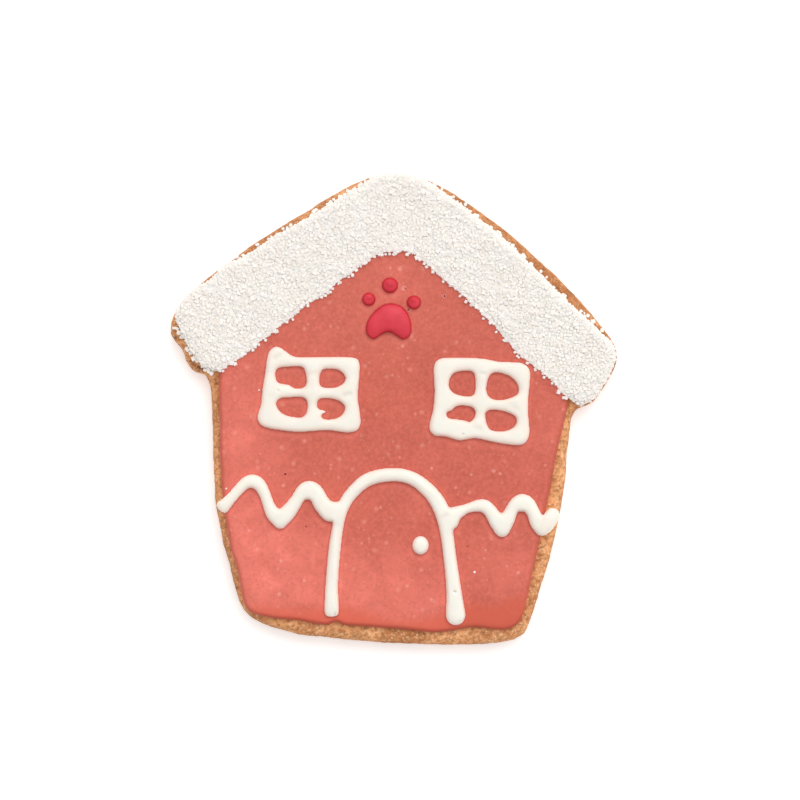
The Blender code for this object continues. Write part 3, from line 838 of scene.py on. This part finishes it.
def make_piped(
    name, material, half_width, evened, marks=(), cell=PIPING_CELL, grown=0.0,
    rounded=0.35 * MM, edge_shade=1.6 * MM, seed=1,
):
    """Piped icing over the outline of the CAD node of this name, as tall as the node.

    Half width is that of the node's usual line. Evened is the height at which wide places stop rising, as a
    share of the usual line's height. Marks are places for furrows. Grown is how far it bulges past the CAD.
    Rounded is how far its outline's corners are softened. Edge shade is the width of its edge tinted with
    painted shade, and on white icing with painted red bounce light.
    """
    low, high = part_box(name)
    base = WALL_TOP - BURIED
    widest = WALL_TOP + PIPED_LIFT * (high.z - WALL_TOP)
    loops = [smoothed(loop, rounded, OUTLINE_STEP) for loop in level_loops(name)]
    margin = 3 * cell
    xs = np.arange(low.x - margin, high.x + margin, cell)
    ys = np.arange(low.y - margin, high.y + margin, cell)
    zs = np.arange(base - margin, high.z + 2 * margin, cell)
    x, y = np.meshgrid(xs, ys, indexing="ij")
    flat = np.column_stack([x.ravel(), y.ravel()])
    depth = depth_inside(flat, loops).reshape(x.shape) + grown
    level = swelling(depth, cell, half_width)
    usual = (high.z - widest) / evened
    rise = usual * np.sqrt(np.maximum(level, 0)) / half_width
    rise = rise / (1 + (rise / (high.z - widest)) ** 6) ** (1 / 6)
    wave = noise(on_ground(flat), 3.5 * MM, seed).reshape(x.shape)
    rise = rise * (1 + 0.05 * wave)
    marked = furrows(flat, marks).reshape(x.shape)
    rise = rise - marked * ramp(rise, 0.15, 0.5)
    squared = np.where(level > 0, rise**2, level * (usual / half_width) ** 2)
    up = zs - widest
    field = squared[:, :, None] - (up**2 * np.where(up < 0, UNDERCUT, 1.0))[None, None, :]
    field = np.minimum(field, (zs - base)[None, None, :] * 2 * usual)
    points, quads = surface_net(field, np.array([xs[0], ys[0], zs[0]]), cell)
    points = relaxed(points, quads)
    points[:, 2] = np.clip(points[:, 2], base, high.z)
    mesh = new_mesh(f"piped_{name}", points, quads)
    # painted shade in the furrows' hollows
    sunk = np.clip(furrows(points, marks) / (0.8 * MM), 0, 0.5)
    set_attribute(mesh, "hollow_shade", sunk * (points[:, 2] > widest))
    column, row = (np.rint((points[:, i] - start[0]) / cell).astype(int) for i, start in enumerate((xs, ys)))
    # painted shade near the edge
    set_attribute(mesh, "edge_shade", smooth_step(depth[column, row], edge_shade, 0.0))
    return new_piece(mesh, material, [name])


ROOF_STEP = 0.45 * MM
ROOF_SECTION = [  # (inset, height above the cookie's top) in millimetres
    (1.5, -1.2), (0.9, -0.6), (0.5, 0.1), (0.4, 0.5), (0.4, 0.9), (0.52, 1.25), (0.8, 1.55), (1.2, 1.78),
    (1.65, 1.9),
]
SNOWED_OVER = [  # (x, y, reach, how far past the cookie's edge) in millimetres
    (-46.5, 25.0, 5.5, 0.2), (-38.5, 31.2, 2.2, 0.1), (2.0, 51.5, 6.5, 0.2), (46.5, 6.5, 9.0, -0.1),
]
SNOW_EDGE = [  # (x, y, reach, shift outward) in millimetres: where the sugar's edge runs off the line
    (11.0, 28.3, 3.0, 0.75), (-7.2, 31.5, 2.2, 0.55), (-16.0, 25.3, 1.8, 0.6), (17.0, 23.0, 2.0, 0.3),
    (34.7, 5.6, 1.8, -0.3), (-36.5, 9.6, 2.5, -0.3), (-1.0, 34.8, 1.8, 0.3), (23.0, 17.5, 2.5, -0.4),
    (-11.6, 28.5, 1.6, -0.5), (7.2, 31.6, 2.0, 0.6), (-32.0, 35.3, 2.5, -0.3),
]


def make_roof(material):
    """The icing under the sugar, which shows only between the grains, and its outline."""
    outline = smoothed(level_loops("roof_icing")[0], 0.8 * MM, ROOF_STEP)
    cookie_edge = evenly_spaced(level_loops("cookie")[0], ROOF_STEP)
    room = depth_inside(outline, [cookie_edge])
    shift = np.zeros(len(outline))
    for x, y, reach, past in SNOWED_OVER:
        covered = ramp(distance_to(outline, x, y), reach + 1.5, reach - 1.5)
        shift += covered * ramp(room, 1.4, 0.9) * (room + past * MM)
    for x, y, reach, amount in SNOW_EDGE:
        shift += amount * MM * faded(distance_to(outline, x, y), reach)
    outline = outline - inward_normals(outline) * shift[:, None]
    outline = smoothed(outline, 1.2 * MM, ROOF_STEP)
    outline = edge_noise(edge_noise(outline, 6 * MM, 0.22 * MM, 43), 2.4 * MM, 0.22 * MM, 44)
    outline = smoothed(outline, 0.45 * MM, ROOF_STEP)
    bands = [(ALL_THE_WAY, 0.8 * MM)]
    mesh = slab("snow_icing", outline, ROOF_SECTION, COOKIE_TOP, bands, 1.5 * MM)
    co = points_of(mesh)
    on_top = smooth_step(co[:, 2], COOKIE_TOP + 1.0 * MM, COOKIE_TOP + 1.9 * MM)
    push_out(mesh, on_top * (noise(co, 9 * MM, 41) * 0.16 + noise(co, 3 * MM, 42) * 0.15) * MM)
    return new_piece(mesh, material, ["roof_icing"]), outline


TRIES = 70000


def scattered(mesh, lowest, gap, seed):
    """(points, normals) spread over the mesh above a height, no two points nearer than the gap."""
    rng = np.random.default_rng(seed)
    mesh.calc_loop_triangles()
    corners = points_of(mesh)[threes(mesh.loop_triangles, "vertices", np.int32)]
    across = np.cross(corners[:, 1] - corners[:, 0], corners[:, 2] - corners[:, 0])
    area = np.linalg.norm(across, axis=1)
    chosen = rng.choice(len(area), TRIES, p=area / area.sum())
    share = rng.random((TRIES, 2))
    folded = share.sum(axis=1) > 1
    share[folded] = 1 - share[folded]
    start = corners[chosen, 0]
    tried = start + share[:, :1] * (corners[chosen, 1] - start) + share[:, 1:] * (corners[chosen, 2] - start)
    kept, taken = [], {}
    for i, point in enumerate(tried):
        if point[2] < lowest:
            continue
        cell = tuple(int(c) for c in point // gap)
        near = (taken.get((cell[0] + a, cell[1] + b, cell[2] + c), ()) for a, b, c in NEARBY)
        if all(np.sum((point - other) ** 2) > gap**2 for others in near for other in others):
            taken.setdefault(cell, []).append(point)
            kept.append(i)
    return tried[kept], across[chosen[kept]] / area[chosen[kept]][:, None]


GRAIN_POINTS = 24
MOST_TIP = 0.27  # radians that a grain may lean


def grain_point(axis, sides):
    """The number of the point that lies on the box's face across this axis, on these sides of x, y and z."""
    return 8 * axis + 4 * sides[0] + 2 * sides[1] + sides[2]


def grain_shape():
    """Faces of a box with its edges and corners cut, as (quads, triangles) over its 24 points."""
    quads = []
    for axis in range(3):
        first, second = [i for i in range(3) if i != axis]
        for side in (0, 1):
            around = ((0, 0), (1, 0), (1, 1), (0, 1))
            quads.append([grain_point(axis, {axis: side, first: a, second: b}) for a, b in around])
        for a, b in itertools.product((0, 1), repeat=2):
            around = ((first, 0), (first, 1), (second, 1), (second, 0))
            quads.append([grain_point(face, {axis: end, first: a, second: b}) for face, end in around])
    triangles = [[8 * axis + corner for axis in range(3)] for corner in range(8)]
    return quads, triangles


def grain_points(half_sizes, cut):
    """The 24 points of each grain about its own middle. Cut is the share of its half size cut off."""
    sides = 2.0 * np.array(CORNERS) - 1
    points = []
    for axis in range(3):
        scale = np.where(np.arange(3) == axis, 1.0, 1 - cut[:, None, None])
        points.append(sides[None] * scale * half_sizes[:, None, :])
    return np.concatenate(points, axis=1)


def rotations(axis, angles):
    """A rotation matrix for each angle, about the x axis (0) or the z axis (2)."""
    first, second = [i for i in range(3) if i != axis]
    matrices = np.tile(np.eye(3), (len(angles), 1, 1))
    matrices[:, first, first] = matrices[:, second, second] = np.cos(angles)
    matrices[:, second, first] = np.sin(angles)
    matrices[:, first, second] = -np.sin(angles)
    return matrices


def grains_mesh(name, centres, sizes, seed):
    """Sugar crystals, each a closed box with cut edges, spun at random and tipped a little."""
    rng = np.random.default_rng(seed)
    count = len(centres)
    half_sizes = 0.5 * sizes[:, None] * rng.uniform(0.72, 1.15, (count, 3))
    shape = grain_points(half_sizes, rng.uniform(0.14, 0.34, count))
    shape *= rng.uniform(0.93, 1.07, shape.shape)
    tips = MOST_TIP * np.sqrt(rng.random(count))
    spins, towards = rng.uniform(0, 2 * math.pi, (2, count))
    turned = rotations(2, towards) @ rotations(0, tips) @ rotations(2, spins - towards)
    co = np.einsum("nij,nkj->nki", turned, shape) + centres[:, None, :]
    first = np.arange(count)[:, None, None] * GRAIN_POINTS
    face_sets = []
    for faces in grain_shape():
        facing = []
        for face in faces:
            corners = grain_points(np.ones((1, 3)), np.array([0.4]))[0][face]
            outward = np.cross(corners[1] - corners[0], corners[2] - corners[1]) @ corners.mean(axis=0)
            facing.append(face if outward > 0 else face[::-1])
        face_sets.append((np.array(facing)[None] + first).reshape(-1, len(facing[0])))
    mesh = new_mesh(name, co.reshape(-1, 3), *face_sets)
    set_attribute(mesh, "tone", np.repeat(rng.random(count), GRAIN_POINTS))
    return mesh


GRAIN_GAP = 0.548 * MM
GRAIN_SIZES = (0.64 * MM, 1.02 * MM)
GRAIN_LIFTS = (-0.28, -0.12)  # of its size: how far a grain's middle is above the snow icing
MOST_GRAINS = 4500
RAISED_SHARE = 0.035  # of the grains stand a little proud
RAISED_BY = 0.16 * MM
FRINGE_GRAINS = 150  # lie beside the snow's edge
FRINGE_REACH = (-0.4, 0.42)  # millimetres outward from that edge
LEAST_RISE = 0.3  # of its size: how far a grain's middle is above the crust or the wall, at least
LOWEST_GRAIN = COOKIE_TOP - 1.3 * MM
LOOSE_GRAINS = [  # (x, y, size) in millimetres: grains that lie apart from the rest, or hang at the edge
    (22.7, 17.0, 0.6), (26.9, 12.5, 0.65), (36.6, 3.7, 0.9), (-36.1, 10.1, 0.95), (-26.6, 17.3, 0.9),
    (-29.0, 15.7, 0.8), (-37.6, 9.3, 0.8), (0.3, 34.6, 0.9), (1.1, 35.0, 0.8), (5.0, 33.5, 0.9),
    (5.6, 33.2, 0.8), (-5.6, 50.5, 0.95), (-7.5, 49.9, 0.9), (-12.0, 47.0, 1.0),
    (-14.1, 45.9, 0.85), (-17.8, 43.8, 1.0), (-9.7, 48.2, 0.9), (-48.9, 17.9, 0.75), (-48.3, 17.8, 0.8),
    (-47.9, 16.9, 0.9), (-47.2, 16.3, 0.8), (-46.0, 13.2, 0.95), (-44.6, 11.1, 1.1), (-43.9, 10.6, 0.8),
    (-42.0, 8.6, 0.95), (-41.3, 8.3, 0.8), (-40.7, 7.8, 0.9), (17.9, -36.4, 0.4), (-30.0, 4.1, 0.35),
    (-37.3, -17.8, 0.4),
]


ABOVE_ALL = 0.1  # metres: a height that no piece reaches


def surface_height(pieces):
    """A function that gives the height of the pieces' top surface at (x, y), or None beside them."""
    trees = []
    for piece in pieces:
        faces = [face.vertices[:] for face in piece.data.polygons]
        trees.append(BVHTree.FromPolygons([vert.co for vert in piece.data.vertices], faces))

    def height(x, y):
        hits = [tree.ray_cast(Vector((x, y, ABOVE_ALL)), Vector((0, 0, -1)))[0] for tree in trees]
        return max((hit.z for hit in hits if hit is not None), default=None)

    return height


def make_sugar(cookie, wall, roof, roof_outline, material):
    """Grains over the snow icing, a fringe of them beside its edge, and a few that lie apart."""
    rng = np.random.default_rng(51)
    places, normals = scattered(roof.data, COOKIE_TOP - 0.25 * MM, GRAIN_GAP, 52)
    sizes = rng.uniform(*GRAIN_SIZES, len(places))
    lift = rng.uniform(*GRAIN_LIFTS, len(places)) * sizes
    lift[rng.random(len(places)) < RAISED_SHARE] += RAISED_BY
    centres = places + normals * lift[:, None]

    spot = rng.choice(len(roof_outline), FRINGE_GRAINS, replace=False)
    outward = rng.uniform(*FRINGE_REACH, FRINGE_GRAINS) * MM
    beyond = -inward_normals(roof_outline)[spot] * outward[:, None]
    loose = np.array(LOOSE_GRAINS) * MM
    beside = np.vstack([roof_outline[spot] + beyond, loose[:, :2]])
    centres = np.vstack([centres, on_ground(beside)])
    sizes = np.concatenate([sizes, rng.uniform(0.5, 0.9, FRINGE_GRAINS) * MM, loose[:, 2]])

    height = surface_height([cookie, wall])
    for centre, size in zip(centres, sizes):
        ground = height(centre[0], centre[1])
        if ground is not None:
            centre[2] = max(centre[2], ground + LEAST_RISE * size)
    held = centres[:, 2] > LOWEST_GRAIN
    centres, sizes = centres[held][-MOST_GRAINS:], sizes[held][-MOST_GRAINS:]
    mesh = grains_mesh("sugar_grains", centres, sizes, 53)
    wall_edge = evenly_spaced(level_loops("wall_icing")[0], 1.0 * MM)
    # painted red light, bounced onto the grains over the red and seen through them
    over_red = ramp(depth_inside(centres[:, :2], [wall_edge]), -1.5, 0.3)
    set_attribute(mesh, "red_bounce", np.repeat(over_red, GRAIN_POINTS))
    return new_piece(mesh, material, smooth=False)


# ================================================================ stage, camera and light
VIEW_CENTRE = (1.33 * MM, 1.9 * MM)  # what the camera looks at
VIEW_WIDTH = 177.8 * MM  # across the picture, at the height of the icing
LENS = 200.0
SENSOR = 36.0
BRIGHT_SIDE = (0.35, 0.7, 0.65)  # the light is softly brighter from here
BRIGHT_SKY, DIM_SKY = 1.16, 0.45
SOFTBOX_POWER = 7.0
WHITE = (1.0, 1.0, 1.0, 1.0)


def make_stage():
    bpy.ops.mesh.primitive_plane_add(size=4.0, location=(0, 0, -0.05 * MM))
    floor = bpy.context.object
    floor.name = "floor"
    constants = {
        "Base Color": WHITE, "Roughness": 0.9, "Specular IOR Level": 0.1, "Emission Color": WHITE,
        "Emission Strength": 0.3,
    }
    floor.data.materials.append(new_material("pale_floor", constants))


def make_camera():
    data = bpy.data.cameras.new("camera")
    data.lens = LENS
    data.sensor_width = SENSOR
    data.clip_start = 0.05
    data.clip_end = 20.0
    camera = bpy.data.objects.new("camera", data)
    camera.location = (*VIEW_CENTRE, COOKIE_TOP + 2 * MM + VIEW_WIDTH * LENS / SENSOR)
    bpy.context.scene.collection.objects.link(camera)
    bpy.context.scene.camera = camera


def make_light():
    scene = bpy.context.scene
    world = bpy.data.worlds.new("studio")
    world.use_nodes = True
    tree = world.node_tree
    direction = put(tree, "ShaderNodeTexCoord", {}).outputs["Generated"]
    brightest = Vector(BRIGHT_SIDE).normalized()
    toward = put(tree, "ShaderNodeVectorMath", {0: direction, 1: brightest}, operation="DOT_PRODUCT")
    strength = put(
        tree, "ShaderNodeMapRange",
        {"Value": toward.outputs["Value"], "From Min": -0.3, "To Min": DIM_SKY, "To Max": BRIGHT_SKY},
        interpolation_type="SMOOTHSTEP",
    )
    tree.links.new(strength.outputs[0], tree.nodes["Background"].inputs["Strength"])
    tree.nodes["Background"].inputs["Color"].default_value = WHITE
    scene.world = world
    lamp = bpy.data.lights.new("softbox", "AREA")
    lamp.shape = "DISK"
    lamp.size = 1.3
    lamp.energy = SOFTBOX_POWER
    key = bpy.data.objects.new("softbox", lamp)
    key.location = (0.35, 0.95, 1.5)
    key.rotation_euler = Vector(key.location).to_track_quat("Z", "Y").to_euler()
    scene.collection.objects.link(key)
    scene.view_settings.view_transform = "Standard"
    scene.view_settings.look = "None"
    scene.view_settings.exposure = 0.0
    scene.view_settings.gamma = 1.0


def make_object():
    crust, wall, white = crust_material(), wall_material(), white_material()
    berry = berry_material()
    cookie = make_cookie(crust)
    flooded = make_wall(wall)
    roof, roof_outline = make_roof(white_material("snow_icing"))
    make_sugar(cookie, flooded, roof, roof_outline, sugar_material())
    for window, seed in (("window_left", 61), ("window_right", 62)):
        make_piped(window, white, 1.6 * MM, 0.98, WINDOW_FURROWS, seed=seed)
    make_piped(
        "door_and_drifts", white, 1.45 * MM, 1.2, DOOR_FURROWS, rounded=0.7 * MM,
        edge_shade=1.1 * MM, seed=69,
    )
    make_piped("door_knob", white, 1.3 * MM, 1.0, cell=0.12 * MM, edge_shade=1.2 * MM, seed=64)
    make_piped(
        "paw_pad", berry, 2.2 * MM, 1.2, cell=0.14 * MM, grown=0.1 * MM, edge_shade=0.6 * MM,
        seed=65,
    )
    for toe in TOES:
        make_piped(
            toe, berry, 1.0 * MM, 1.2, TOE_PEAKS, cell=0.11 * MM, grown=0.12 * MM,
            edge_shade=0.6 * MM, seed=66,
        )


make_light()
make_stage()
make_camera()
make_object()
